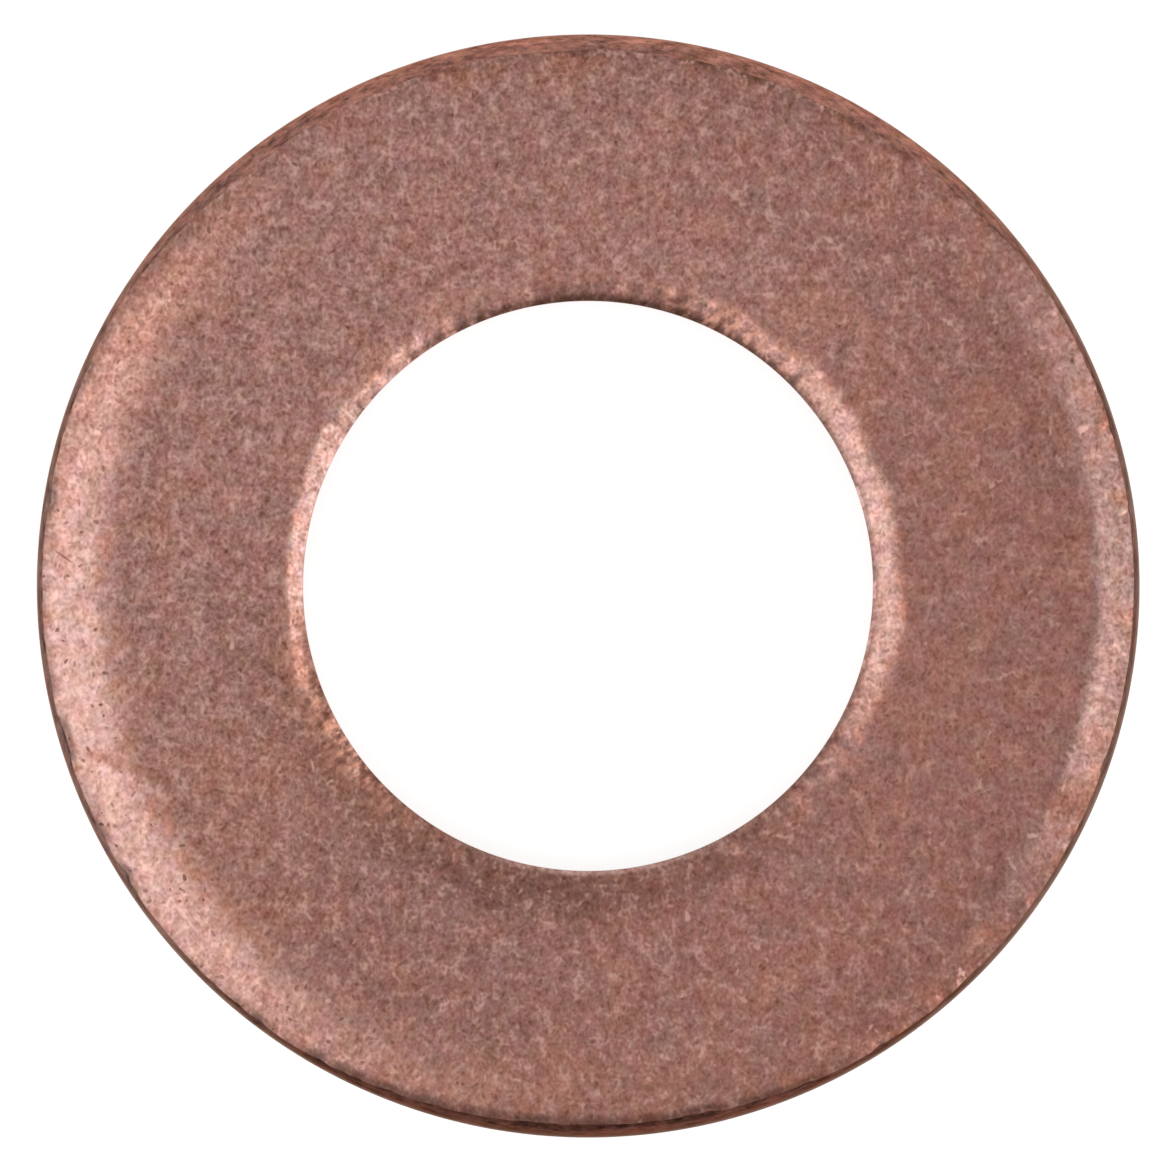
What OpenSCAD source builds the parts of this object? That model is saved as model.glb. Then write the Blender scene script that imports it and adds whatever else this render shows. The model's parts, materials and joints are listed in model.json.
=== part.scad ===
// Copper crush washer: a flat ring punched from soft copper sheet in one stroke.
// The upper face carries the die roll of both cuts, so it falls away towards the
// rim and towards the bore. The walls are sheared: a bright land above, and a
// slightly tapered torn part above the lower face, whose edges tumbling has eased.
// Frame: the lower face lies on Z = 0, and the bore runs along +Z through the origin.

/* [Ring] */
// Diameter of the bore, a clearance hole for a 6 mm bolt
bore_d = 6.2; // [5.2:0.1:7.2]
// Outside diameter, across the belly of the outer wall
outer_d = 12; // [10:0.1:16]
// Thickness of the copper sheet
thickness = 1; // [0.8:0.05:2]

/* [Die roll on the upper face] */
// How far in from the rim the outer roll starts
outer_roll_w = 1.02; // [0.6:0.02:1.3]
// Radius of the outer roll
outer_roll_r = 1.9; // [1.4:0.05:4]
// How far in from the bore's wall the inner roll starts
inner_roll_w = 0.44; // [0.2:0.02:0.6]
// Radius of the inner roll
inner_roll_r = 0.9; // [0.6:0.05:2]

/* [Sheared walls] */
// How far the outer wall's belly stands proud of the shoulder above it
belly_w = 0.1; // [0.04:0.01:0.16]
// Radius of the swelling from the shoulder down to the belly
belly_r = 0.36; // [0.24:0.02:0.6]
// How far the torn part of each wall tapers back
breakout_w = 0.04; // [0.01:0.01:0.1]
// Height of the torn part of each wall
breakout_h = 0.22; // [0.12:0.01:0.3]
// Radius that tumbling leaves on the lower edges
edge_r = 0.06; // [0.02:0.01:0.1]

/* [Hidden] */
$fn = 96;
bore_r = bore_d / 2;
outer_r = outer_d / 2;
// The shoulder, where the outer roll meets the swelling outer wall
shoulder_z = thickness - fall(outer_roll_r, outer_roll_w - belly_w);
// Where the outer wall turns upright, at its full radius
belly_z = shoulder_z - belly_r + fall(belly_r, belly_r - belly_w);
// The swelling is cut from a little inside the shoulder, where the roll is already the lower arc
belly_cut_w = 1.2 * belly_w;

// How far an arc of radius r falls below its tangent, at a distance along that tangent
function fall(r, along) = r - sqrt(r * r - along * along);

// The cutting shapes run past the sheet by its thickness, so that no faces coincide.

// What a die roll takes off the upper face: it starts at the origin and falls towards +X
module roll_waste(w, r) {
    translate([0, -r]) difference() {
        square([w + thickness, r + thickness]);
        circle(r);
    }
}

// What lies outside the swelling of the outer wall, with the arc's centre at the origin
module belly_waste() {
    difference() {
        translate([belly_r - belly_cut_w, 0]) square([belly_cut_w + thickness, thickness]);
        circle(belly_r);
    }
}

// What the torn taper and the eased edge take off the foot of a wall.
// The wall's land stands on X = 0, and the metal lies on its +X side.
module foot_waste() {
    lean = atan2(breakout_w, breakout_h);
    corner = [breakout_w, 0];
    reach = edge_r / tan((90 + lean) / 2);
    centre = [breakout_w + reach, edge_r];
    tangent = corner + reach * [-sin(lean), cos(lean)];
    polygon([[0, breakout_h], [-thickness, breakout_h], [-thickness, 0], corner]);
    difference() {
        polygon([corner, [centre.x, 0], centre, tangent]);
        translate(centre) circle(edge_r);
    }
}

// Half of the ring's cross-section, with X as the radius
module section() {
    difference() {
        translate([bore_r, 0]) square([outer_r - bore_r, thickness]);
        translate([outer_r - outer_roll_w, thickness]) roll_waste(outer_roll_w, outer_roll_r);
        translate([bore_r + inner_roll_w, thickness]) mirror([1, 0]) roll_waste(inner_roll_w, inner_roll_r);
        translate([outer_r - belly_r, belly_z]) belly_waste();
        translate([bore_r, 0]) foot_waste();
        translate([outer_r, 0]) mirror([1, 0]) foot_waste();
    }
}

module crush_washer() {
    color([0.6, 0.43, 0.39]) rotate_extrude() section();
}

crush_washer();
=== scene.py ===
# %% [markdown]
# A copper crush washer is a flat ring that a press punches from soft sheet in one stroke. This lesson
# dresses the ring's solid model: it spins the ring's section into a fine mesh, wears the mesh the way
# tumbling wears soft copper, and gives it two finishes, one for the faces and one for the sheared walls.
# The solid model comes first, because every size here has to agree with it.

# %% Load the solid model
import json
import math
import random
from functools import partial
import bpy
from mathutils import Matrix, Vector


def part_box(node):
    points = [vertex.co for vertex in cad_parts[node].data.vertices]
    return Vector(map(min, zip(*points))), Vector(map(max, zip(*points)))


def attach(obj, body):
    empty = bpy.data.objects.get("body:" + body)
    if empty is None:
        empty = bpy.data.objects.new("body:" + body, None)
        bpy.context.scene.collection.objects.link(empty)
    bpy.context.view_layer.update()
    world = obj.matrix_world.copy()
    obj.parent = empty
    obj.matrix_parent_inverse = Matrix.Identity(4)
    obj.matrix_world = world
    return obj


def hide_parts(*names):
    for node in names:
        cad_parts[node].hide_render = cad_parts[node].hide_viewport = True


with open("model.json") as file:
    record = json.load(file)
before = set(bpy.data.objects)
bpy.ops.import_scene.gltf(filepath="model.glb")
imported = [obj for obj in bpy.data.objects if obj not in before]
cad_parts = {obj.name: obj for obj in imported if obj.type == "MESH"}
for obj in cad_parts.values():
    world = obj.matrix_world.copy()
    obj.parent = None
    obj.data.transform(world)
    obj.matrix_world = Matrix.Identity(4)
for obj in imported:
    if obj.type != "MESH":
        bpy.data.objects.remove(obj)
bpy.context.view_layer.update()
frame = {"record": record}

from types import SimpleNamespace

import bmesh
import bpy
from mathutils import Vector, noise

MM = 0.001
scene = bpy.context.scene
bore_mount = next(mount for mount in frame["record"]["mounts"] if mount["name"] == "bore")
node_low, node_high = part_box("crush_washer")
bore_r = bore_mount["dims"]["r_mm"] * MM
outer_r = node_high.x
thickness = node_high.z - node_low.z
print("bore radius %.3f, outer radius %.3f, thickness %.3f mm"
      % (bore_r / MM, outer_r / MM, thickness / MM))

# %% [markdown]
# The ring's section is a closed outline of straight lines and arcs. On the real ring the press drew the
# upper edges down before it cut through them, so the face rolls over towards the rim and the bore. The
# outline could be typed as points, but a pen that is extruded along lines and spun along arcs keeps each
# stretch tied to the size that a drawing would give.

# %% A pen for the section
def line_to(outline, pen, radius, height, pieces):
    """Extrude the pen's vertex along a straight line, in equal pieces."""
    step = (Vector((radius, 0, height)) - pen.co) / pieces
    for _ in range(pieces):
        pen = bmesh.ops.extrude_vert_indiv(outline, verts=[pen])["verts"][0]
        bmesh.ops.translate(outline, verts=[pen], vec=step)
    return pen


def arc_by(outline, pen, centre, angle, pieces):
    """Spin the pen's vertex about a centre in the section's plane."""
    swept = bmesh.ops.spin(outline, geom=[pen], cent=(centre[0], 0, centre[1]), axis=(0, 1, 0),
                           angle=angle, steps=pieces, use_merge=False, use_duplicate=False)
    return swept["geom_last"][0]


def fall(radius, along):
    """How far an arc falls below its tangent, at a distance along that tangent."""
    return radius - math.sqrt(radius ** 2 - along ** 2)


# %% [markdown]
# A shop drawing gives each stretch of the sheared edge a width and a radius: the rolls above, the swelling
# of the outer wall, the torn taper and the eased edge below. The solid model uses the same sizes. Where two
# stretches meet is worked out from them, so a change of one size moves its neighbours too.

# %% The sizes of the sheared edges
outer_roll_w = 1.02 * MM
outer_roll_r = 1.9 * MM
inner_roll_w = 0.44 * MM
inner_roll_r = 0.9 * MM
belly_w = 0.1 * MM
belly_r = 0.36 * MM
breakout_w = 0.04 * MM
breakout_h = 0.22 * MM
edge_r = 0.06 * MM

flat_start_r = bore_r + inner_roll_w
flat_end_r = outer_r - outer_roll_w
shoulder_r = outer_r - belly_w
shoulder_z = thickness - fall(outer_roll_r, outer_roll_w - belly_w)
belly_z = shoulder_z - belly_r + fall(belly_r, belly_r - belly_w)
bore_edge_z = thickness - fall(inner_roll_r, inner_roll_w)
lean = math.atan2(breakout_w, breakout_h)
foot_reach = edge_r / math.tan((math.pi / 2 + lean) / 2)
foot_in = breakout_w + foot_reach
foot_turn = math.pi / 2 - lean
foot_tangent = (breakout_w - foot_reach * math.sin(lean), foot_reach * math.cos(lean))
print("shoulder at radius %.3f, height %.3f mm" % (shoulder_r / MM, shoulder_z / MM))

# %% [markdown]
# The pen runs clockwise: out along the flat face, over the rim, back along the lower face and up the bore.
# The counts say how finely each stretch is divided. The flat face and the rolls get the most pieces, because
# they will carry the wear and the colours, and the rest get just enough to look round.

# %% Draw the section
MERGE = 0.001 * MM
FLAT_PIECES = 27
OUTER_ROLL_PIECES = 20
BELLY_PIECES = 7
LAND_PIECES = 3
TAPER_PIECES = 2
FOOT_PIECES = 3
LOWER_FACE_PIECES = 12
BORE_LAND_PIECES = 4
INNER_ROLL_PIECES = 22

ring = bmesh.new()
start = Vector((flat_start_r, 0, thickness))
pen = bmesh.ops.create_vert(ring, co=start)["vert"][0]
pen = line_to(ring, pen, flat_end_r, thickness, FLAT_PIECES)
pen = arc_by(ring, pen, (flat_end_r, thickness - outer_roll_r),
             math.asin((outer_roll_w - belly_w) / outer_roll_r), OUTER_ROLL_PIECES)
pen = arc_by(ring, pen, (outer_r - belly_r, belly_z), math.acos(1 - belly_w / belly_r), BELLY_PIECES)
pen = line_to(ring, pen, outer_r, breakout_h, LAND_PIECES)
pen = line_to(ring, pen, outer_r - foot_tangent[0], foot_tangent[1], TAPER_PIECES)
pen = arc_by(ring, pen, (outer_r - foot_in, edge_r), foot_turn, FOOT_PIECES)
pen = line_to(ring, pen, bore_r + foot_in, 0, LOWER_FACE_PIECES)
pen = arc_by(ring, pen, (bore_r + foot_in, edge_r), foot_turn, FOOT_PIECES)
pen = line_to(ring, pen, bore_r, breakout_h, TAPER_PIECES)
pen = line_to(ring, pen, bore_r, bore_edge_z, BORE_LAND_PIECES)
pen = arc_by(ring, pen, (flat_start_r, thickness - inner_roll_r),
             math.asin(inner_roll_w / inner_roll_r), INNER_ROLL_PIECES)
gap = (pen.co - start).length
bmesh.ops.remove_doubles(ring, verts=ring.verts[:], dist=MERGE)
print("section of %d edges, closed to %.6f mm" % (len(ring.edges), gap / MM))

# %% [markdown]
# Spinning the outline about the bore's axis makes the ring. One long spin gets slower with every step, so
# the outline is spun into a narrow sector first, and the sector is then copied round by a second spin.
# Last, the seams are merged and the faces' normals worked out again.

# %% Spin the section into a ring
SECTORS = 30
SECTOR_STEPS = 30
sector_angle = math.tau / SECTORS
bmesh.ops.spin(ring, geom=ring.verts[:] + ring.edges[:], cent=(0, 0, 0), axis=(0, 0, 1),
               angle=sector_angle, steps=SECTOR_STEPS, use_merge=False, use_duplicate=False)
bmesh.ops.spin(ring, geom=ring.verts[:] + ring.edges[:] + ring.faces[:], cent=(0, 0, 0), axis=(0, 0, 1),
               angle=math.tau - sector_angle, steps=SECTORS - 1, use_merge=False, use_duplicate=True)
bmesh.ops.remove_doubles(ring, verts=ring.verts[:], dist=MERGE)
bmesh.ops.recalc_face_normals(ring, faces=ring.faces[:])
print("ring of %d faces" % len(ring.faces))

# %% [markdown]
# Wear, dirt and damage lie on one side of a ring or another, and they fade out instead of stopping. A few
# small functions say that for every step below. Directions are in degrees, counterclockwise from +X, the
# picture's right, and reaches are in millimetres.

# %% Soft steps and directions
def ease(low, high, value):
    """A smooth step from 0 at low to 1 at high."""
    part = min(1, max(0, (value - low) / (high - low)))
    return part * part * (3 - 2 * part)


def facing(angle, towards, width, full=0):
    """1 where an angle points a given way, to within full degrees, and 0 from width degrees off."""
    off = abs(math.remainder(angle - math.radians(towards), math.tau))
    return ease(math.radians(width), math.radians(full), off)


def near(distance, fade, full=0):
    """1 within full millimetres of something, and 0 from fade millimetres off."""
    return ease(fade * MM, full * MM, distance)


def round_axis(spot):
    """How far a place lies from the ring's axis, and at which angle."""
    return math.hypot(spot.x, spot.y), math.atan2(spot.y, spot.x)


# %% [markdown]
# No punch sits exactly in the middle of its die. Where the gap between them was wider, the edge rolled over
# further, so the outer roll is deep on the left of this ring, and on the right it starts late and falls
# steeply, like a bevel. The shoulder below it isn't quite round either. All of this is written as functions
# of the angle, because the bending, the wear and the tones each ask where the edge is.

# %% The outer roll and its shoulder
ROLL_EASE = 0.19
ROLL_SIDE = math.radians(-30)
STEEP_SIDE = 0
STEEP_FADE = 65
STEEP_FULL = 15
STEEP_START = 5.46 * MM
STEEP_BEND = 0.12 * MM
STEEP_TILT = math.tan(math.radians(17))
SHOULDER_PROUD = 0.040 * MM
SHOULDER_BACK = 0.092 * MM
# Where the shoulder stands back: direction, fade and full width in degrees, and the share of the way
STANDS_BACK = [(90, 62, 38, 1.0), (270, 33, 0, 0.75)]


def bent_fall(past, bend, tilt):
    """How far a face has fallen that bends down to a tilt within a short way and then runs straight."""
    if past < bend:
        return tilt * max(0, past) ** 2 / (2 * bend)
    return tilt * (past - bend / 2)


def roll_depth(angle):
    """How deep the outer roll is at an angle, against the spun ring."""
    return 1 - ROLL_EASE - ROLL_EASE * math.cos(angle - ROLL_SIDE)


def roll_fall(angle, radius, height):
    """How far the bent roll has fallen below the flat face."""
    late = facing(angle, STEEP_SIDE, STEEP_FADE, STEEP_FULL)
    steep_fall = bent_fall(radius - STEEP_START, STEEP_BEND, STEEP_TILT)
    return (1 - late) * roll_depth(angle) * (thickness - height) + late * steep_fall


def shoulder_out(angle):
    """How far the shoulder stands out at an angle, against the spun ring."""
    back = max(share * facing(angle, *way) for *way, share in STANDS_BACK)
    return SHOULDER_PROUD - SHOULDER_BACK * back


print("roll depth from %.2f to %.2f" % (roll_depth(ROLL_SIDE), roll_depth(ROLL_SIDE + math.pi)))

# %% [markdown]
# Round the bore the piercing punch dragged the copper down in a narrow bevel, and close to the wall the
# metal curled a little further, into a lip. The bevel is wider and softer on the right. Its edge is torn, so
# a slow and a fast noise push it in and out on the way round.

# %% The torn bevel round the bore
BEVEL_W = 0.325 * MM
BEVEL_W_SHIFT = 0.075 * MM
BEVEL_BEND = 0.15 * MM
BEVEL_BEND_SHIFT = 0.055 * MM
BEVEL_TILT = math.tan(math.radians(22))
BEVEL_TORN = 0.08 * MM
SLOW_TEARS = 5
SLOW_TEARS_FROM = Vector((2, 7, 5))
FAST_TEARS = 17
FAST_TEARS_SHARE = 0.4
LIP_W = 0.09 * MM
LIP_STEEPER = 0.45


def bevel_start(angle):
    """The radius at which the bevel starts."""
    outward = Vector((math.cos(angle), math.sin(angle), 0))
    torn = noise.noise(outward * SLOW_TEARS + SLOW_TEARS_FROM)
    torn += FAST_TEARS_SHARE * noise.noise(outward * FAST_TEARS)
    width = BEVEL_W + BEVEL_W_SHIFT * outward.x + BEVEL_TORN * torn
    return bore_r + min(width, inner_roll_w)


def bevel_bend(angle):
    """The width over which the bevel bends down."""
    return BEVEL_BEND + BEVEL_BEND_SHIFT * math.cos(angle)


def bevel_fall(angle, radius):
    """How far the bevel and its lip have fallen below the flat face."""
    lip = LIP_STEEPER * (0.5 + 0.5 * math.cos(angle))
    fallen = bent_fall(bevel_start(angle) - radius, bevel_bend(angle), BEVEL_TILT)
    return fallen + bent_fall(bore_r + LIP_W - radius, LIP_W, lip)


print("bevel %.2f mm wide on the right, %.2f mm on the left"
      % tuple((bevel_start(angle) - bore_r) / MM for angle in (0, math.pi)))

# %% [markdown]
# The spun ring is perfect, and this step bends it. A vertex still shows by its radius and height which
# stretch of the section it came from, so each stretch gets a move of its own: the outer roll, the swelling
# wall below it, and the bevel at the bore. The last lines pull the rim in by a hair, to keep the ring
# within its size.

# %% Bend the ring
RIM_INSET = 0.0014 * MM
RIM_WORN = 0.0045 * MM
for vert in ring.verts:
    radius, angle = round_axis(vert.co)
    height = vert.co.z
    out = shoulder_out(angle)
    moved_r, moved_z = radius, height
    if radius > flat_end_r and height > shoulder_z - MERGE:
        moved_r = radius + out * ((radius - flat_end_r) / (shoulder_r - flat_end_r)) ** 2
        moved_z = thickness - roll_fall(angle, moved_r, height)
    elif radius > shoulder_r and height > belly_z:
        moved_r = outer_r - (outer_r - radius) * (belly_w - out) / belly_w
        raised = thickness - shoulder_z - roll_fall(angle, shoulder_r + out, shoulder_z)
        moved_z = height + raised * (height - belly_z) / (shoulder_z - belly_z)
    elif radius < flat_start_r and height > bore_edge_z - MERGE:
        moved_z = thickness - bevel_fall(angle, radius)
    if moved_r > shoulder_r:
        inset = RIM_INSET + RIM_WORN * max(0, -math.cos(angle)) ** 4
        moved_r -= inset * (moved_r - shoulder_r) / belly_w
    vert.co.x *= moved_r / radius
    vert.co.y *= moved_r / radius
    vert.co.z = moved_z
print("bent ring reaches %.4f mm" % (max(round_axis(vert.co)[0] for vert in ring.verts) / MM))

# %% [markdown]
# Soft copper never leaves the tumbling drum with perfect edges. The shoulder wanders, most of all above and
# below in the picture, and other rings have knocked nicks into it. A few nicks are placed where they show,
# and seeded dice scatter the smaller ones, so that the ring comes out the same each time.

# %% Nicks and a wandering shoulder
WANDER = 0.014 * MM
SLOW_WANDER = 9
SLOW_WANDER_FROM = Vector((0, 0, 4))
FAST_WANDER = 31
FAST_WANDER_SHARE = 0.3
RAGGED_ENDS = 1.5
SMALL_NICKS = 40
# Angle in degrees, depth and width along the rim in millimetres
nicks = [(196, 0.030, 0.35), (212, 0.035, 0.16), (283, 0.030, 0.22), (171, 0.020, 0.14),
         (64, 0.022, 0.3), (112, 0.020, 0.25), (341, 0.020, 0.18), (24, 0.018, 0.15)]
nick_dice = random.Random(7)
nicks += [(nick_dice.uniform(0, 360), nick_dice.uniform(0.006, 0.018), nick_dice.uniform(0.06, 0.2))
          for _ in range(SMALL_NICKS)]


def nick_depth(angle):
    """How deep the nicks are at an angle round the rim."""
    depth = 0
    for at, deep, wide in nicks:
        along = math.remainder(angle - math.radians(at), math.tau) * outer_r
        depth += deep * MM * math.exp(-(along / (wide * MM / 2)) ** 2)
    return depth


def shoulder_wander(angle, outward):
    """How far the shoulder has wandered inwards."""
    wander = 0.5 + 0.5 * noise.noise(outward * SLOW_WANDER + SLOW_WANDER_FROM)
    wander += FAST_WANDER_SHARE * noise.noise(outward * FAST_WANDER)
    above_or_below = max(facing(angle, towards=90, width=70, full=20), facing(angle, towards=270, width=50))
    return WANDER * (1 + RAGGED_ENDS * above_or_below) * max(0, wander)


print("%d nicks" % len(nicks))

# %% [markdown]
# The faces are very slightly uneven, the rolls more so, and the bevel has ripples across it where the punch
# dragged. These are shapes, so they are moves of the mesh and not paint, and they catch the light from every
# side. Every move goes inwards, so the ring stays within its size.

# %% Wear the ring
NICK_REACH = 0.06 * MM
NICK_LEAN = Vector((0, 0, 0.5))
EDGE_SLACK = 0.01 * MM
FLAT_UNEVEN = 0.0025 * MM
FLAT_SPAN = 0.40 * MM
ROLL_UNEVEN = 0.007 * MM
ROLL_SPAN = 0.17 * MM
ROLL_ASIDE = Vector((3 * MM, 0, 0))
FINER = 2.2
FINER_FROM = Vector((7, 3, 5))
BORE_RIPPLE = 0.008 * MM
RIPPLES = 26
RIPPLE_LENGTH = 0.3 * MM


def unevenness(place, span):
    """A gentle landscape from 0 to 1, with hollows about as wide as the span."""
    broad = noise.noise(place / span)
    fine = noise.noise(place * FINER / span + FINER_FROM)
    return 0.5 + 0.33 * broad + 0.17 * fine


for vert in ring.verts:
    spot = vert.co.copy()
    radius, angle = round_axis(spot)
    outward = Vector((spot.x, spot.y, 0)) / radius
    edge_at = shoulder_r + shoulder_out(angle)
    edge_z = thickness - roll_fall(angle, edge_at, shoulder_z)
    from_edge = math.hypot(radius - edge_at, spot.z - edge_z)
    if spot.z > breakout_h and from_edge < 3 * NICK_REACH:
        on_edge = math.exp(-(from_edge / NICK_REACH) ** 2)
        inward = shoulder_wander(angle, outward) + nick_depth(angle)
        vert.co -= on_edge * inward * (outward + NICK_LEAN)
    if spot.z > edge_z - EDGE_SLACK and radius < edge_at + EDGE_SLACK:
        into_bevel = (flat_start_r - radius) / inner_roll_w
        on_roll = max(ease(flat_end_r, shoulder_r, radius), ease(0, 0.5, into_bevel))
        vert.co.z -= FLAT_UNEVEN * unevenness(spot, FLAT_SPAN)
        vert.co.z -= on_roll * ROLL_UNEVEN * unevenness(spot + ROLL_ASIDE, ROLL_SPAN)
        ripple = noise.noise(outward * RIPPLES + Vector((0, 0, radius / RIPPLE_LENGTH)))
        vert.co.z -= ease(0, 0.4, into_bevel) * BORE_RIPPLE * (0.5 + 0.5 * ripple)
print("worn ring is %.4f mm high" % (max(vert.co.z for vert in ring.verts) / MM))

# %% [markdown]
# Bare copper doesn't dull evenly. One side of this ring is redder and the other greyer. The rolls are paler,
# partly from rubbing and partly as a painted highlight on the sides that face the lamps. Single patches are
# set lighter or darker than the rest. These tones are broad, so the mesh can carry them as a colour on each
# vertex. A painted picture would do it too, but formulas and a short list of patches stay easy to change.

# %% The tones of the copper and its patches
ROSY = Vector((0.340, 0.173, 0.147))
RED = Vector((0.300, 0.135, 0.110))
# Pale copper, also laid on as a painted highlight on the rolls and on the bore's edge
PALE_AND_HIGHLIGHT = Vector((0.385, 0.230, 0.201))
AMBER = Vector((0.352, 0.162, 0.116))
GREYED = Vector((0.302, 0.166, 0.144))
ORANGE = Vector((0.330, 0.130, 0.080))
RUST = Vector((0.215, 0.083, 0.053))
# Grime, also used as painted shade along the bore's edge
GRIME_AND_SHADE = Vector((0.125, 0.057, 0.042))

PATCH_EDGE = 0.1
# Patches set lighter or darker: direction and half width in degrees, radii in mm, change of level
PATCHES = [
    # At the rim
    (0, 55, 5.50, 6.2, -0.20), (-15, 80, 5.78, 6.2, -0.10), (0, 50, 5.88, 6.2, -0.18),
    (75, 20, 5.50, 5.7, -0.08), (225, 35, 5.88, 6.2, -0.12), (243, 25, 5.25, 6.2, -0.14),
    (240, 20, 5.65, 5.85, -0.08), (271, 18, 5.78, 5.95, 0.22), (310, 40, 5.25, 6.2, -0.14),
    (316, 30, 5.78, 6.2, -0.18), (325, 25, 5.50, 5.9, -0.10),
    # On the flat face
    (25, 35, 4.90, 5.4, -0.09), (65, 50, 3.36, 4.3, 0.09), (190, 30, 3.40, 4.1, -0.09),
    (240, 50, 3.55, 5.3, -0.10), (348, 20, 3.40, 3.6, 0.08),
    # At the bore
    (8, 35, 3.26, 3.50, -0.15), (30, 25, 3.05, 3.2, -0.10), (45, 40, 2.90, 3.3, -0.07),
    (60, 15, 3.05, 3.36, -0.08), (125, 45, 3.22, 3.5, 0.18), (138, 20, 3.05, 3.2, -0.12),
    (202, 24, 3.10, 3.4, 0.15), (300, 25, 3.12, 3.45, -0.10), (322, 28, 3.05, 3.3, -0.25),
]


def patch_level(angle, radius):
    """How much paler or duller the patches make a place."""
    level = 0
    for towards, width, low, high, change in PATCHES:
        inside = ease(low - PATCH_EDGE, low + PATCH_EDGE, radius / MM)
        inside *= ease(high + PATCH_EDGE, high - PATCH_EDGE, radius / MM)
        level += change * inside * facing(angle, towards, width)
    return level


print("%d patches" % len(PATCHES))

# %% [markdown]
# Every tone asks the same things of a place: how far it lies from the shoulder and the bore, which roll it
# is on, and how four drifting noises stand there. The noises differ in size, from patches wider than a
# millimetre to specks of an eighth of one. Looking these up once keeps the functions that follow short.

# %% Look up a place on the ring
PATCH_SPAN = 1.3 * MM
BLOTCH_SPAN = 0.55 * MM
FLECK_SPAN = 0.33 * MM
SPECK_SPAN = 0.13 * MM
UPPER_SIDE = (0.3 * MM, 0.5 * MM)
OUTER_ROLL_TONE = (5.0 * MM, 5.5 * MM)
STEEP_TONE = (5.44 * MM, 5.56 * MM)
LEFT = 198


def look_up(spot):
    """Where a place lies on the ring, and how the drifting noises stand there."""
    radius, angle = round_axis(spot)
    at = SimpleNamespace(spot=spot, radius=radius, angle=angle, facing=partial(facing, angle))
    at.patch = noise.noise(spot / PATCH_SPAN)
    at.blotch = noise.noise(spot / BLOTCH_SPAN + Vector((4, 5, 9)))
    at.fleck = noise.noise(spot / FLECK_SPAN + Vector((9, 2, 6)))
    at.speck = noise.noise(spot / SPECK_SPAN + Vector((1, 8, 3)))
    at.from_shoulder = shoulder_r + shoulder_out(angle) - radius
    at.from_bore = radius - bore_r
    at.into_bevel = bevel_start(angle) - radius
    at.above = ease(*UPPER_SIDE, spot.z)
    at.on_outer = at.above * ease(*OUTER_ROLL_TONE, radius + 0.08 * MM * at.fleck)
    at.on_steep = at.above * ease(*STEEP_TONE, radius + 0.05 * MM * at.fleck)
    at.on_steep *= at.facing(STEEP_SIDE, width=55)
    frayed = (0.07 * at.fleck + 0.05 * at.speck) * MM
    at.on_bevel = at.above * ease(0, bevel_bend(angle), at.into_bevel - frayed)
    at.left_band = at.on_outer * at.facing(LEFT, width=90)
    return at


# %% [markdown]
# The first two tones are the copper itself and its pale bands. The base runs from rosy to red across the
# ring, with amber and greyed blotches in it. The raised bands are pale, partly from rubbing and partly as a
# painted highlight on the left and right, where the lamps stand, and the bend beside the widest of them has
# kept an amber edge.

# %% The bare copper and its pale bands of rubbing and painted highlight
RED_SIDE = math.radians(-20)
RED_REACH = 4.6 * MM
BEND_R = 5.24 * MM


def bare_copper(at):
    """The copper's own tone, with its blotches."""
    redder = 0.5 + 0.5 * math.cos(at.angle - RED_SIDE) * at.radius / RED_REACH
    colour = ROSY.lerp(RED, min(1, max(0, redder + 0.35 * at.patch + 0.2 * at.fleck)))
    return colour.lerp(AMBER if at.blotch > 0 else GREYED, min(1, 0.8 * abs(at.blotch)))


def rubbed_and_highlighted(at, colour):
    """The tone after rubbing, with the pale bands, which are partly a painted highlight, and the single
    patches.
    """
    # The pale bands on the left and right are partly rubbing and partly a painted highlight where the lamps
    # shine
    bevel_sides = max(at.facing(12, width=75), at.facing(165, width=75))
    pale_band_and_highlight = max(at.on_outer * at.facing(LEFT, width=75), 0.9 * at.on_steep, at.on_bevel * bevel_sides)
    colour = colour.lerp(PALE_AND_HIGHLIGHT, pale_band_and_highlight)
    colour *= 1 + 0.12 * at.fleck + 0.06 * at.patch
    at_bend = at.above * near(abs(at.radius - BEND_R), fade=0.30) * at.facing(208, width=75)
    colour = colour.lerp(AMBER, at_bend * ease(-0.3, 0.6, at.speck + at.fleck))
    colour = colour.lerp(AMBER, 0.5 * at.on_outer * at.facing(148, width=28))
    return colour * (1 + at.above * patch_level(at.angle, at.radius))


# %% [markdown]
# Damp and fingers leave copper stained. The shoulder and the bevel's edge are orange in flecks, the lower
# left has an amber cast, the bore is scraped there, and a few rusty stains sit where the photograph shows
# them. Each stain is a short line with a reach, so that one list holds both spots and streaks.

# %% Stains
# Where each rusty stain starts and ends, how far it reaches in millimetres, and how strong it is
STAINS = [
    ((5.12, -2.38), (5.20, -2.28), 0.27, 0.55), ((5.06, -2.44), (5.04, -2.50), 0.10, 0.60),
    ((5.41, -2.28), (5.36, -2.44), 0.10, 0.75), ((-5.40, -1.82), (-4.55, -2.12), 0.09, 0.60),
    ((-5.05, -1.82), (-5.00, -1.70), 0.18, 0.45),
]
STAIN_IN_BEVEL = 0.10 * MM


def rust_at(spot, speck):
    """How strong the rusty stains are at a place."""
    strength = 0
    here = Vector((spot.x, spot.y)) / MM
    for first, last, reach, most in STAINS:
        first, run = Vector(first), Vector(last) - Vector(first)
        part = min(1, max(0, (here - first).dot(run) / run.length_squared))
        away = (here - first - part * run).length
        strength = max(strength, most * ease(reach, 0.4 * reach, away + 0.3 * reach * speck))
    return strength


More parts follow.
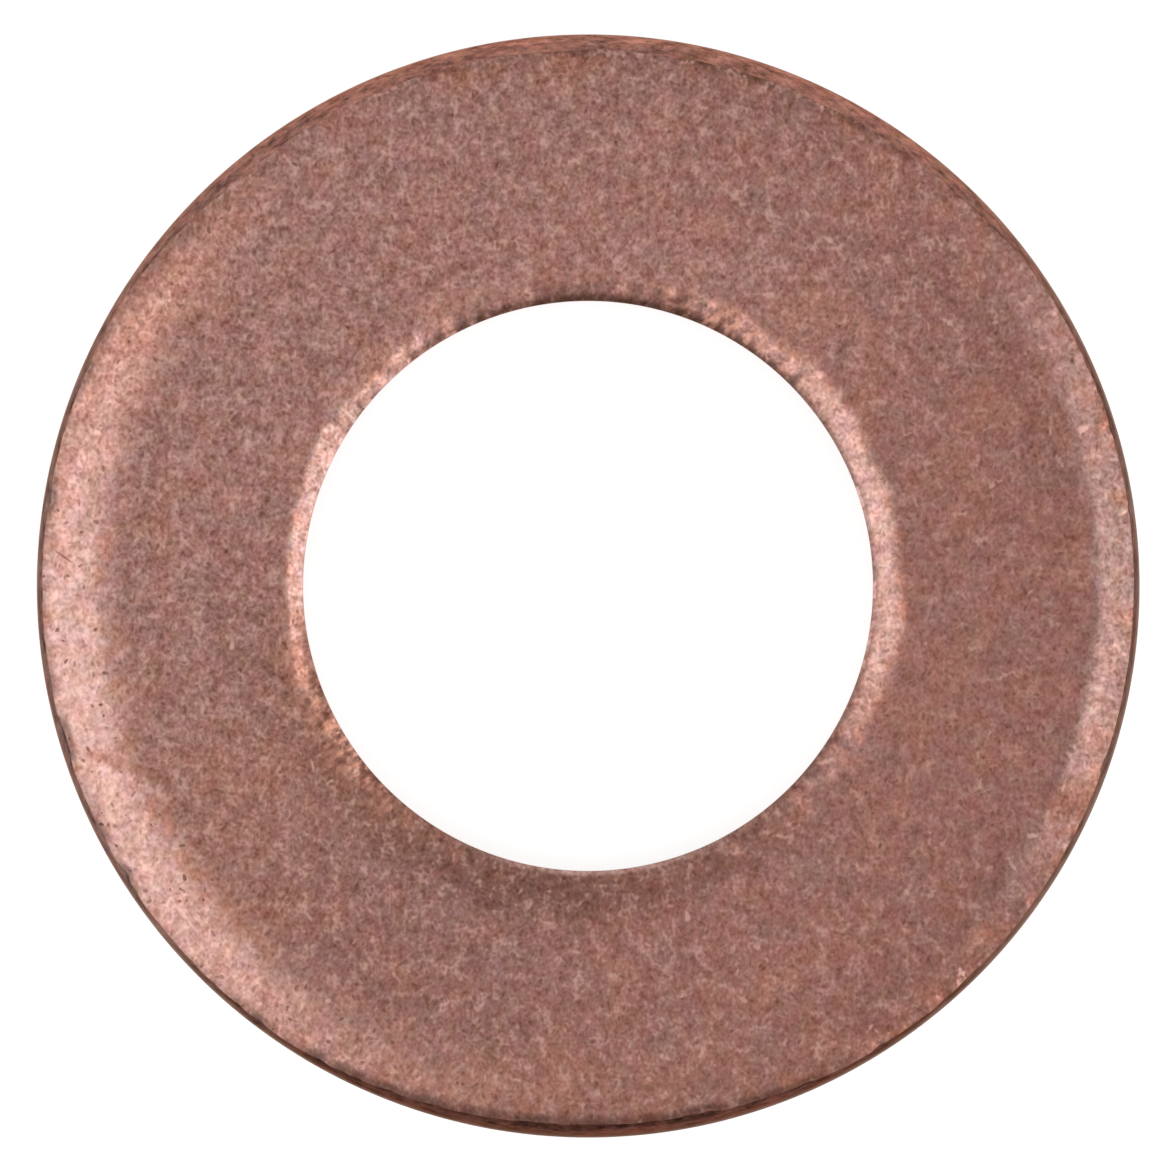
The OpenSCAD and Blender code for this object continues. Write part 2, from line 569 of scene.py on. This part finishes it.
def stained(at, colour):
    """The tone after staining."""
    at_shoulder = near(at.from_shoulder, fade=0.35) * ease(-0.1, 0.7, at.fleck + 0.6 * at.speck)
    at_shoulder *= 0.6 + 0.3 * at.facing(290, width=35)
    at_bevel = near(abs(at.into_bevel - STAIN_IN_BEVEL), fade=0.09, full=0.02)
    at_bevel *= 0.45 * ease(-0.2, 0.6, at.speck + 0.6 * at.fleck)
    colour = colour.lerp(ORANGE, max(at_shoulder, at_bevel))
    colour = colour.lerp(RUST, at.above * rust_at(at.spot, at.speck))
    low_left = at.above * (1 - 0.8 * at.on_outer) * at.facing(210, width=24)
    colour = colour.lerp(AMBER, 0.35 * low_left)
    colour = colour.lerp(AMBER, 0.35 * at.on_outer * at.facing(265, width=60))
    scraped = at.above * near(at.from_bore, fade=0.58, full=0.24)
    scraped *= at.facing(212, width=34, full=14)
    return colour.lerp(AMBER * 1.1, 0.7 * scraped)


print("%d rusty stains" % len(STAINS))

# %% [markdown]
# Grime comes last, because it lies on top. It has settled in a wide dark crescent along the lower part of
# the bore, and in thin lines along the shoulder and along the bore's scraped edge. A thin dark line along
# the rest of the bore's edge, mostly high in the picture, is painted shade. Low in the picture, a bright
# hairline on the bore's edge is a painted highlight.

# %% Grime, with painted shade and a painted highlight at the bore's edge
def grimed_and_edge_lit(at, colour):
    """The tone under the grime, with a dark line of painted shade along the bore's edge high in the picture
    and a bright hairline of painted highlight low in it.
    """
    crescent = near(at.from_bore + 0.1 * MM * at.fleck, fade=0.70, full=0.35)
    crescent *= at.facing(255, width=80)
    # A dark line along the bore's edge, mostly high in the picture, is painted shade
    bore_edge_shade = near(at.from_bore + 0.02 * MM * at.speck, fade=0.12, full=0.03)
    bore_edge_shade *= max(at.facing(85, width=70, full=25), 0.4 * at.facing(-25, width=45, full=20))
    scraped_line = near(at.from_bore + 0.03 * MM * at.speck, fade=0.15, full=0.05)
    scraped_line *= at.facing(208, width=28, full=14)
    rim_line = near(at.from_shoulder + 0.06 * MM * at.fleck, fade=0.17, full=0.03)
    rim_line *= max(at.facing(75, width=60), 0.45 * at.facing(280, width=60), 0.3)
    rim_line *= ease(-0.6, 0.5, at.fleck + 0.5 * at.speck)
    grime_and_shade = max(0.6 * crescent, 0.8 * bore_edge_shade, 0.8 * scraped_line, rim_line)
    colour = colour.lerp(GRIME_AND_SHADE, at.above * min(1, grime_and_shade))
    # A bright hairline on the bore's edge, low in the picture, is a painted highlight
    hairline_highlight = near(at.from_bore, fade=0.07, full=0.02) * at.facing(275, width=42)
    return colour.lerp(PALE_AND_HIGHLIGHT * 1.15, at.above * hairline_highlight)


# %% [markdown]
# Now the tones are laid on the vertices, one over the other. The colour's fourth channel says how coarse the
# grain is, which is finer on the rubbed bands. A second attribute holds how much the bore's drag marks show,
# how much painted glint the grain gets, and how pitted the copper is.

# %% Lay the tones on the ring
COARSE_SIDE = math.radians(160)
tone = ring.verts.layers.float_color.new("tone")
marks = ring.verts.layers.float_vector.new("marks")
for vert in ring.verts:
    at = look_up(vert.co)
    colour = grimed_and_edge_lit(at, stained(at, rubbed_and_highlighted(at, bare_copper(at))))
    coarse = 1 + 0.15 * math.cos(at.angle - COARSE_SIDE)
    coarse *= 1 - 0.42 * at.left_band + 0.14 * at.on_steep
    vert[tone] = (*colour, coarse)

    dragged = max(at.facing(213, width=30), 0.9 * at.facing(66, width=22), 0.25)
    dragged *= at.above * near(at.from_bore + 0.08 * MM * at.fleck, fade=0.36, full=0.18)
    # How much painted glint the grain gets: less on the right and on the bright bands
    painted_glint_amount = 1 - 0.7 * at.facing(-10, width=70)
    painted_glint_amount *= 1 - max(0.8 * at.left_band, at.on_steep)
    pitted = 0.6 + 0.35 * at.left_band
    vert[marks] = (dragged, painted_glint_amount, pitted)
print("tones on %d vertices" % len(ring.verts))

# %% [markdown]
# Two creases have to stay crisp, the shoulder and the bore's upper edge, so only edges that turn sharply are
# marked, and all else is smooth. Upright faces get the walls' finish, and the rest the faces' finish. The
# finished mesh takes the place of the solid model's node.

# %% Sharp shoulders and material slots
SHARP = math.radians(14)
UPRIGHT = math.cos(math.radians(40))
FACE, WALL = 0, 1
for edge in ring.edges:
    edge.smooth = edge.calc_face_angle(0) < SHARP
for face in ring.faces:
    upright = abs(face.normal.z) < UPRIGHT and face.calc_center_median().z > edge_r
    face.material_index = WALL if upright else FACE
    face.smooth = True

washer_mesh = bpy.data.meshes.new("washer")
ring.to_mesh(washer_mesh)
ring.free()
washer = bpy.data.objects.new("washer", washer_mesh)
scene.collection.objects.link(washer)
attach(washer, "root")
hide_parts("crush_washer")
print("washer mesh: %d vertices" % len(washer_mesh.vertices))

# %% [markdown]
# The finishes are trees of shader nodes. Each node could be added, set and linked in five or six lines, but
# a tree then gets hard to read. The first helper does all of it in one call: a socket's value may be a
# number, a colour, or the output of another node. The rest are short ways to the nodes that come up most.

# %% Helpers that add shader nodes
def put(tree, kind, inputs=None, **settings):
    """Add a node, set its properties, and fill its sockets with values or other nodes' outputs."""
    made = tree.nodes.new("ShaderNode" + kind)
    for name, value in settings.items():
        setattr(made, name, value)
    for name, value in (inputs or {}).items():
        if isinstance(value, bpy.types.NodeSocket):
            tree.links.new(value, made.inputs[name])
        else:
            made.inputs[name].default_value = value
    return made


def calc(tree, operation, *values):
    """What a Math node makes of some values."""
    return put(tree, "Math", dict(enumerate(values)), operation=operation).outputs[0]


def calc_vector(tree, operation, *vectors):
    """What a Vector Math node makes of some vectors."""
    return put(tree, "VectorMath", dict(enumerate(vectors)), operation=operation).outputs[0]


def length_of(tree, vector):
    """How long a vector is."""
    return put(tree, "VectorMath", {0: vector}, operation="LENGTH").outputs["Value"]


def ramp(tree, value, low, high, first=0.0, last=1.0, kind="LINEAR"):
    """A value that runs from first at low to last at high, and stays there."""
    return put(tree, "MapRange", {"Value": value, "From Min": low, "From Max": high, "To Min": first,
                                  "To Max": last}, interpolation_type=kind).outputs[0]


def turned(tree, vector, angle):
    """A vector turned about the ring's axis."""
    return put(tree, "VectorRotate", {"Vector": vector, "Angle": angle}, rotation_type="Z_AXIS").outputs[0]


# %% [markdown]
# Both finishes carry the grain that tumbling leaves: a suede of tiny patches, each rubbed one way by
# whatever struck it last. A stretched noise would run all strokes one way, so here a Voronoi pattern deals
# out the patches, and its random colour gives each a direction for its strokes.

# %% Patches of fine strokes
# The step between a noise's layers isn't a whole number, so that the layers never line up
LAYER_STEP = 2.17


def fine_noise(tree, place, per_mm, detail, roughness, layer_step=2.0, dimensions="2D"):
    """A noise node, with its scale counted to the millimetre."""
    return put(tree, "TexNoise", {"Vector": place, "Scale": per_mm, "Detail": detail, "Roughness": roughness,
                                  "Lacunarity": layer_step}, noise_dimensions=dimensions)


def deal_cells(tree, place, cells_per_mm):
    """Cells at random, each with a middle, an angle and a chance from 0 to 1."""
    cells = put(tree, "TexVoronoi", {"Vector": place, "Scale": cells_per_mm}, voronoi_dimensions="2D")
    dice = put(tree, "SeparateColor", {"Color": cells.outputs["Color"]}).outputs
    return cells.outputs["Position"], calc(tree, "MULTIPLY", dice["Red"], math.tau), dice["Green"]


def rubbed_patches(tree, place, patches_per_mm, strokes_per_mm, stretch):
    """Fine strokes that run one way within a patch and another way in the next."""
    _, angle, _ = deal_cells(tree, place, patches_per_mm)
    drawn = calc_vector(tree, "MULTIPLY", turned(tree, place, angle), (1 / stretch, 1, 1))
    return fine_noise(tree, drawn, strokes_per_mm, 1.0, 0.9, LAYER_STEP).outputs[0]


# %% [markdown]
# On top of the suede lie single marks: pits, knocks and short scores. A Voronoi pattern again deals out one
# mark to a cell, with a direction and a depth of its own, and most come out faint. The suede itself frays
# their outlines, because a clean oval would look stamped.

# %% Sparse marks
FEW_DEEP = 2.2
RAGGED = 4.0


def reach_in_oval(tree, away, angle, half_length, half_width):
    """How far out a place lies in a turned oval: 0 in its middle and 1 on its outline."""
    shaped = calc_vector(tree, "MULTIPLY", turned(tree, away, angle), (1 / half_length, 1 / half_width, 0))
    return length_of(tree, shaped)


def sparse_marks(tree, place, uneven, cells_per_mm, half_length, half_width, core):
    """One mark in each cell, turned at random and mostly faint, with a ragged outline, as a mask."""
    middle, angle, chance = deal_cells(tree, place, cells_per_mm)
    away = calc_vector(tree, "SUBTRACT", place, middle)
    reach = reach_in_oval(tree, away, angle, half_length, half_width)
    ragged = calc(tree, "MULTIPLY_ADD", uneven, -RAGGED, reach)
    mask = ramp(tree, ragged, 1.0 - RAGGED / 2, core - RAGGED / 2, kind="SMOOTHSTEP")
    return calc(tree, "MULTIPLY", mask, calc(tree, "POWER", chance, FEW_DEEP))


# %% [markdown]
# The faces and the walls share this grain, so it is built once, as a node group. It puts out only values:
# the grain's level, its suede alone, two drifting hues, and a mask for each kind of mark. What colour they
# give is left to each finish. The whole grain is drawn out a little one way, as on the ring.

# %% The tumbled grain as a node group
DRAWN_OUT = (1.06, 0.945, 1)
ASIDE = (31.0, 17.0, 0)
tumbled = bpy.data.node_groups.new("tumbled_grain", "ShaderNodeTree")
tumbled.interface.new_socket("Place", in_out="INPUT", socket_type="NodeSocketVector")
grain_in = tumbled.nodes.new("NodeGroupInput")
spread = calc_vector(tumbled, "MULTIPLY", grain_in.outputs["Place"], DRAWN_OUT)
aside = calc_vector(tumbled, "ADD", spread, ASIDE)

strokes = rubbed_patches(tumbled, spread, patches_per_mm=9.0, strokes_per_mm=13.0, stretch=1.35)
suede = fine_noise(tumbled, spread, per_mm=5.0, detail=2.0, roughness=1.0, layer_step=LAYER_STEP).outputs[0]
hue = fine_noise(tumbled, aside, per_mm=4.5, detail=1.0, roughness=0.6, layer_step=LAYER_STEP)
hues = put(tumbled, "SeparateColor", {"Color": hue.outputs["Color"]}).outputs
level = calc(tumbled, "MULTIPLY", calc(tumbled, "ADD", strokes, suede), 0.5)
results = {"Grain": level, "Suede": suede, "Blush": hues["Red"], "Straw": hues["Green"]}
# Cells to the millimetre, half length and half width in millimetres, and how much of a mark is its core
for name, where, *sizes in (("Pits", spread, 9.0, 0.034, 0.019, 0.35),
                            ("Knocks", spread, 2.6, 0.046, 0.028, 0.2),
                            ("Scores", aside, 3.6, 0.080, 0.026, 0.1)):
    results[name] = sparse_marks(tumbled, where, suede, *sizes)

for name in results:
    tumbled.interface.new_socket(name, in_out="OUTPUT", socket_type="NodeSocketFloat")
grain_out = tumbled.nodes.new("NodeGroupOutput")
for name, value in results.items():
    tumbled.links.new(value, grain_out.inputs[name])
print("tumbled grain: %d nodes" % len(tumbled.nodes))

# %% [markdown]
# A finish starts from an empty tree, reads its place on the ring in millimetres, and mixes colours by masks.
# These helpers do that for both finishes. The places are Object coordinates, so the grain stays with the
# ring wherever it is laid.

# %% Helpers for a finish
# Two hues that drift by themselves, each from one tint to another
HUES = (("Blush", (0.935, 1.080, 1.080, 1), (1.065, 0.920, 0.920, 1)),
        ("Straw", (1.00, 0.965, 1.105, 1), (1.00, 1.035, 0.895, 1)))


def new_material(name):
    """An empty material and its node tree."""
    material = bpy.data.materials.new(name)
    material.use_nodes = True
    material.node_tree.nodes.clear()
    return material, material.node_tree


def place_in_mm(tree):
    """Object coordinates in millimetres."""
    spot = put(tree, "TexCoord").outputs["Object"]
    return put(tree, "VectorMath", {0: spot, "Scale": 1 / MM}, operation="SCALE").outputs[0]


def blend(tree, factor, first, second, how="MIX"):
    """Mix two colours by a factor."""
    return put(tree, "Mix", {0: factor, 6: first, 7: second}, data_type="RGBA", blend_type=how).outputs[2]


def tint_by_hues(tree, grain, colour):
    """Let both hues of the grain tint a colour."""
    for name, one_tint, other_tint in HUES:
        tint = blend(tree, grain.outputs[name], one_tint, other_tint)
        colour = calc_vector(tree, "MULTIPLY", colour, tint)
    return colour


# %% [markdown]
# The faces are bare copper that has dulled to a rosy brown. The colour on the vertices gives the broad tone,
# the hues tint it, and the grain lightens and darkens it from fleck to fleck. Blue and green swing further
# than red, because the dark flecks of old copper are also the more saturated ones.

# %% The dull copper of the faces
GRAIN_SWING = (1.00, 1.30, 1.43)
face_copper, tree = new_material("dull_copper")
place = place_in_mm(tree)
grain = put(tree, "Group", {"Place": place}, node_tree=tumbled)
broad = put(tree, "Attribute", attribute_name="tone")
tinted = tint_by_hues(tree, grain, broad.outputs["Color"])
around_one = calc(tree, "MULTIPLY", grain.outputs["Grain"], 2.0)
levels = []
for swing in GRAIN_SWING:
    power = calc(tree, "MULTIPLY", broad.outputs["Alpha"], swing)
    levels.append(calc(tree, "POWER", around_one, power))
grain_level = put(tree, "CombineXYZ", dict(enumerate(levels))).outputs[0]
colour = calc_vector(tree, "MULTIPLY", tinted, grain_level)
print("tone and grain: %d nodes" % len(tree.nodes))

# %% [markdown]
# Where the grain stands highest, a painted glint lightens it towards fresh copper, and the short scores show
# fresh copper too. Pits and knocks are deep enough to hold dirt. Each is a mix towards one of two shades, by
# a mask from the grain and an amount, which the mesh gives where it changes over the ring.

# %% Painted glints, scores, pits and knocks
# Fresh copper, for the scores and scratches and for the painted glints
FRESH_AND_GLINT = (0.605, 0.350, 0.292, 1)
DEEP = (0.110, 0.046, 0.032, 1)
SCORED = 0.60
KNOCKED = 0.50
amounts = put(tree, "SeparateXYZ", {0: put(tree, "Attribute", attribute_name="marks").outputs["Vector"]})
dragged, painted_glint_amount, pitted = amounts.outputs
# Painted glints: the highest grain is lightened towards fresh copper
painted_glints = ramp(tree, grain.outputs["Suede"], low=0.56, high=0.76, last=0.55)
for mask, amount, shade in ((painted_glints, painted_glint_amount, FRESH_AND_GLINT), (grain.outputs["Scores"], SCORED, FRESH_AND_GLINT),
                            (grain.outputs["Pits"], pitted, DEEP), (grain.outputs["Knocks"], KNOCKED, DEEP)):
    colour = blend(tree, calc(tree, "MULTIPLY", mask, amount), colour, shade)
print("with the marks: %d nodes" % len(tree.nodes))

# %% [markdown]
# The piercing punch left drag marks beside the bore, all rising the same way across the ring. Here a plain
# stretched noise is right, since these strokes do run in one direction. Its crests get a painted highlight
# and its furrows painted shade, besides their bump, and the mesh says where they show.

# %% The drag marks at the bore
# Painted highlight for the drag marks' crests and painted shade for their furrows
DRAG_HIGHLIGHT = (0.490, 0.235, 0.165, 1)
DRAG_SHADE = (0.150, 0.058, 0.036, 1)
DRAG_WAY = math.radians(33)
DRAG_STRETCH = 1.9
drag_place = calc_vector(tree, "MULTIPLY", turned(tree, place, -DRAG_WAY), (1 / DRAG_STRETCH, 1, 1))
furrows = fine_noise(tree, drag_place, per_mm=11.0, detail=1.5, roughness=0.7).outputs[0]
# A painted highlight on the crests and painted shade in the furrows
crest_highlight = ramp(tree, furrows, low=0.49, high=0.64, last=0.75)
furrow_shade = ramp(tree, furrows, low=0.47, high=0.34, last=0.60)
for mask, shade in ((crest_highlight, DRAG_HIGHLIGHT), (furrow_shade, DRAG_SHADE)):
    colour = blend(tree, calc(tree, "MULTIPLY", mask, dragged), colour, shade)
print("with the drag marks: %d nodes" % len(tree.nodes))

# %% [markdown]
# A handful of longer scratches are so plain in the photograph that they are placed one by one. Each is a
# soft, narrow oval along a line, light where copper was laid bare and dark where dirt got in.

# %% A few stray scratches
# Start and end of each scratch in millimetres, its half width, its strength and its shade
STRAYS = [
    ((-5.87, 0.44), (-5.53, 0.20), 0.018, 0.75, DEEP),
    ((-3.01, -1.86), (-2.97, -2.05), 0.016, 0.80, FRESH_AND_GLINT),
    ((-2.15, -3.22), (-2.16, -3.64), 0.018, 0.35, FRESH_AND_GLINT),
    ((-2.42, -3.28), (-2.36, -3.46), 0.014, 0.40, FRESH_AND_GLINT),
    ((-3.80, -1.20), (-3.72, -1.62), 0.014, 0.30, FRESH_AND_GLINT),
    ((1.30, 4.60), (1.62, 4.12), 0.013, 0.35, FRESH_AND_GLINT),
    ((4.10, -2.30), (4.46, -2.18), 0.013, 0.30, FRESH_AND_GLINT),
]
STRAY_CORE = 0.2
for first, last, half_width, most, shade in STRAYS:
    first, last = Vector((*first, 0)), Vector((*last, 0))
    run = last - first
    away = calc_vector(tree, "SUBTRACT", place, (first + last) / 2)
    reach = reach_in_oval(tree, away, -math.atan2(run.y, run.x), run.length / 2, half_width)
    mask = ramp(tree, reach, 1.0, STRAY_CORE, kind="SMOOTHSTEP")
    colour = blend(tree, calc(tree, "MULTIPLY", mask, most), colour, shade)
print("%d stray scratches" % len(STRAYS))

# %% [markdown]
# Copper is a metal, so the tone is the colour of what it reflects. The light flecks are the smoother ones,
# which makes the grain sparkle a little as the light moves. The bump is only a micrometre or two, for the
# feel of suede, because the shapes that show are in the mesh already.

# %% Finish the face
ROUGH_DARK = 0.36
ROUGH_LIGHT = 0.27
SUEDE_HEIGHT = 0.0015 * MM
DRAG_HEIGHT = 3.0
roughness = ramp(tree, grain.outputs["Grain"], 0.35, 0.65, ROUGH_DARK, ROUGH_LIGHT)
deep_drag = calc(tree, "MULTIPLY", dragged, DRAG_HEIGHT)
height = calc(tree, "MULTIPLY_ADD", furrows, deep_drag, grain.outputs["Suede"])
bump = put(tree, "Bump", {"Height": height, "Distance": SUEDE_HEIGHT})
shader = put(tree, "BsdfPrincipled", {"Base Color": colour, "Roughness": roughness, "Metallic": 1.0,
                                      "Normal": bump.outputs[0]})
put(tree, "OutputMaterial", {"Surface": shader.outputs[0]})
washer_mesh.materials.append(face_copper)
print("dull copper: %d nodes" % len(tree.nodes))

# %% [markdown]
# The press sheared the walls, and their rough copper is set darker than on the faces. They are lightest at
# the top of the picture, from painted light, and darkest at the bottom, from painted shade, which is a
# little paler in a strip under the shoulder there.
# The mesh could carry these tones too, but ramps along X, Y and Z are simpler for a wall that is only a
# sliver in the picture.

# %% The tones of the walls
# Painted shade for the bottom of the picture and a paler strip of it under the shoulder, the plain tones of
# right and left, and painted light for the top
WALL_PAINTED_SHADE = (0.067, 0.0255, 0.019, 1)
WALL_PALER_SHADE = (0.125, 0.048, 0.035, 1)
WALL_RIGHT = (0.118, 0.064, 0.053, 1)
WALL_LEFT = (0.152, 0.086, 0.073, 1)
WALL_PAINTED_LIGHT = (0.275, 0.123, 0.095, 1)
wall_copper, tree = new_material("sheared_copper")
place = place_in_mm(tree)
grain = put(tree, "Group", {"Place": place}, node_tree=tumbled)
across, along, up = put(tree, "SeparateXYZ", {0: place}).outputs
left_side = ramp(tree, across, low=2.0, high=-4.0)
# Painted light towards the top of the picture and painted shade towards the bottom
lit_side = ramp(tree, along, low=2.0, high=5.6)
shaded_side = ramp(tree, along, low=-3.6, high=-5.2)
near_shoulder = ramp(tree, up, low=0.66, high=0.82)
in_front = ramp(tree, along, low=-5.15, high=-5.6)
bottom_shade = blend(tree, calc(tree, "MULTIPLY", near_shoulder, in_front), WALL_PAINTED_SHADE, WALL_PALER_SHADE)
colour = blend(tree, left_side, WALL_RIGHT, WALL_LEFT)
colour = blend(tree, lit_side, colour, WALL_PAINTED_LIGHT)
colour = blend(tree, shaded_side, colour, bottom_shade)
print("tones of the walls: %d nodes" % len(tree.nodes))

# %% [markdown]
# A sheared wall has three zones. In the middle the punch burnished a land with fine upright lines, below it
# the metal tore off and stayed matt and crumbly, and on the outer wall the swelling under the shoulder is
# marked along the rim by tumbling. The borders between them waver, so the crumbs' noise is added to the
# height before the zones are told apart.

# %% Land, torn part and swelling
WALL_LAND = (0.270, 0.138, 0.110, 1)
WAVER = 0.16
# Where each zone starts, and the height over which it sets in, in millimetres
LAND_ZONE = (breakout_h / MM + 0.03, 0.10)
SWELL_ZONE = (belly_z / MM - 0.02, 0.16)
UPRIGHT_LINES = (1, 1, 0.2)
RIM_DRAWN_OUT = 0.4
squeezed = calc_vector(tree, "MULTIPLY", place, UPRIGHT_LINES)
lines = fine_noise(tree, squeezed, per_mm=15.0, detail=3.0, roughness=0.7, dimensions="3D").outputs[0]
crumbs = fine_noise(tree, place, per_mm=11.0, detail=3.0, roughness=0.8, dimensions="3D").outputs[0]
waver = calc(tree, "MULTIPLY_ADD", crumbs, WAVER, up)
on_land, above_belly = [ramp(tree, waver, start, start + reach, kind="SMOOTHSTEP")
                        for start, reach in (LAND_ZONE, SWELL_ZONE)]

outward = length_of(tree, put(tree, "CombineXYZ", {0: across, 1: along}).outputs[0])
on_rim = calc(tree, "GREATER_THAN", outward, flat_end_r / MM)
on_swell = calc(tree, "MULTIPLY", above_belly, on_rim)
round_rim = calc(tree, "MULTIPLY", calc(tree, "ARCTAN2", along, across), RIM_DRAWN_OUT * outer_r / MM)
rim_place = put(tree, "CombineXYZ", {0: round_rim, 1: outward, 2: up}).outputs[0]
rim_lines = fine_noise(tree, rim_place, per_mm=10.0, detail=3.0, roughness=0.8, dimensions="3D").outputs[0]
texture = put(tree, "Mix", {0: on_land, 2: crumbs, 3: lines}).outputs[0]
texture = put(tree, "Mix", {0: on_swell, 2: texture, 3: rim_lines}).outputs[0]
colour = blend(tree, on_swell, WALL_LAND, colour)
print("land from %.2f mm, swelling from %.2f mm up" % (LAND_ZONE[0], SWELL_ZONE[0]))

# %% [markdown]
# The zones' textures swing the tone, most of all on the swelling, which also gets rusty flecks, only on the
# top side with the painted light. The torn part is darker and redder than the land, because its roughness
# swallows light. Then the finish is put together as on the faces, with a matt torn part and a smoother land.

# %% Finish the walls
WALL_RUST = (0.360, 0.135, 0.085, 1)
TORN_SHADE = (0.62, 0.56, 0.52, 1)
GLANCING_TINT = (0.74, 0.57, 0.50, 1)
LAND_SWING = 0.40
SWELL_SWING = 0.75
WALL_PITTED = 0.5
ROUGH_TORN = 0.58
ROUGH_LAND = 0.36
WALL_HEIGHT = 0.006 * MM
colour = tint_by_hues(tree, grain, colour)
# The rusty flecks show only on the side with painted light
rust = calc(tree, "MULTIPLY", ramp(tree, crumbs, low=0.48, high=0.62, last=0.4), on_swell)
colour = blend(tree, calc(tree, "MULTIPLY", rust, lit_side), colour, WALL_RUST)
swing = ramp(tree, on_swell, 0.0, 1.0, LAND_SWING, SWELL_SWING)
around_zero = ramp(tree, texture, 0.3, 0.7, -1.0, 1.0)
wall_level = calc(tree, "MULTIPLY_ADD", around_zero, swing, 1.0)
colour = put(tree, "VectorMath", {0: colour, "Scale": wall_level}, operation="SCALE").outputs[0]
colour = blend(tree, on_land, blend(tree, 1.0, colour, TORN_SHADE, "MULTIPLY"), colour)
colour = blend(tree, calc(tree, "MULTIPLY", grain.outputs["Pits"], WALL_PITTED), colour, DEEP)
roughness = ramp(tree, on_land, 0.0, 1.0, ROUGH_TORN, ROUGH_LAND)
bump = put(tree, "Bump", {"Height": texture, "Distance": WALL_HEIGHT})
shader = put(tree, "BsdfPrincipled", {"Base Color": colour, "Roughness": roughness, "Metallic": 1.0,
                                      "Specular Tint": GLANCING_TINT, "Normal": bump.outputs[0]})
put(tree, "OutputMaterial", {"Surface": shader.outputs[0]})
washer_mesh.materials.append(wall_copper)
print("sheared copper: %d nodes" % len(tree.nodes))

# %% [markdown]
# The ring lies on a plain white floor. To the camera and in reflections the floor glows a little, so it
# reads as white, while the part of it that only scatters light keeps the ring's soft shadow. From below the
# floor is clear, so that the ring's lower face can be looked at too.

# %% The floor
FLOOR_REACH = 0.8
FLOOR_BELOW = 0.005 * MM
FLOOR_GREY = (0.5, 0.5, 0.5, 1)
FLOOR_GLOW = 0.65
WHITE = (1, 1, 1, 1)
floor_shape = bmesh.new()
bmesh.ops.create_grid(floor_shape, x_segments=1, y_segments=1, size=FLOOR_REACH)
bmesh.ops.translate(floor_shape, verts=floor_shape.verts[:], vec=(0, 0, -FLOOR_BELOW))
floor_mesh = bpy.data.meshes.new("floor")
floor_shape.to_mesh(floor_mesh)
floor_shape.free()
floor = bpy.data.objects.new("floor", floor_mesh)
scene.collection.objects.link(floor)

floor_white, tree = new_material("white_floor")
rays = put(tree, "LightPath").outputs
seen = calc(tree, "MAXIMUM", rays["Is Camera Ray"], rays["Is Glossy Ray"])
seen = calc(tree, "MAXIMUM", seen, rays["Is Transmission Ray"])
shader = put(tree, "BsdfPrincipled", {"Base Color": FLOOR_GREY, "Roughness": 1.0, "Specular IOR Level": 0.0,
                                      "Emission Color": WHITE,
                                      "Emission Strength": calc(tree, "MULTIPLY", seen, FLOOR_GLOW)})
clear = put(tree, "BsdfTransparent")
from_below = put(tree, "NewGeometry").outputs["Backfacing"]
one_sided = put(tree, "MixShader", {0: from_below, 1: shader.outputs[0], 2: clear.outputs[0]})
put(tree, "OutputMaterial", {"Surface": one_sided.outputs[0]})
floor_mesh.materials.append(floor_white)
print("floor %.1f m across" % (2 * FLOOR_REACH))

# %% [markdown]
# The light is a plain studio. An even sky, dimmer towards the front, is what the flat face mirrors. A large
# soft panel on the left reaches almost overhead, and a second one stands low on the right. The rolled edges
# tilt just enough to catch the panels, which is what makes the bright bands.

# %% The sky and the panels
SKY_HIGH = 0.95
SKY_FRONT = 0.30
PANEL_DISTANCE = 0.10
world = bpy.data.worlds.new("studio_sky")
world.use_nodes = True
tree = world.node_tree
tree.nodes.clear()
towards = put(tree, "SeparateXYZ", {0: put(tree, "TexCoord").outputs["Generated"]})
front = ramp(tree, towards.outputs["Y"], -1.0, -0.45, SKY_FRONT, SKY_HIGH, kind="SMOOTHSTEP")
sky = put(tree, "Background", {"Color": WHITE, "Strength": front})
put(tree, "OutputWorld", {"Surface": sky.outputs[0]})
scene.world = world


def soft_panel(name, azimuth, tilt, length, height, level):
    """An area lamp that faces the ring, with its level given as a brightness."""
    lamp = bpy.data.lights.new(name, "AREA")
    lamp.shape = "RECTANGLE"
    lamp.size = length
    lamp.size_y = height
    lamp.energy = level * math.pi * length * height
    panel = bpy.data.objects.new(name, lamp)
    around, down = math.radians(azimuth), math.radians(tilt)
    towards = Vector((math.sin(down) * math.cos(around), math.sin(down) * math.sin(around),
                      math.cos(down)))
    panel.location = towards * PANEL_DISTANCE
    panel.rotation_euler = towards.to_track_quat("Z", "Y").to_euler()
    scene.collection.objects.link(panel)


soft_panel("left_panel", azimuth=195, tilt=42, length=0.132, height=0.072, level=1.32)
soft_panel("right_panel", azimuth=-13, tilt=53, length=0.150, height=0.066, level=1.65)
print("two panels, %.2f m from the ring" % PANEL_DISTANCE)

# %% [markdown]
# The camera looks straight down through a long lens. An orthographic camera would come close, but no real
# lens sees that way. In the photograph the ring is 1103.5 of the picture's 1176 pixels across, which sets
# the width of the view.

# %% The camera
PICTURE_PX = 1176
RING_PX = 1103.5
CAMERA_HEIGHT = 0.5
CLIP_START = 0.01
view_width = 2 * outer_r * PICTURE_PX / RING_PX
lens = bpy.data.cameras.new("camera")
lens.lens = lens.sensor_width * (CAMERA_HEIGHT - belly_z) / view_width
lens.clip_start = CLIP_START
camera = bpy.data.objects.new("camera", lens)
camera.location = (0, 0, CAMERA_HEIGHT)
scene.collection.objects.link(camera)
scene.camera = camera
scene.view_settings.view_transform = "Standard"
print("lens %.0f mm" % lens.lens)
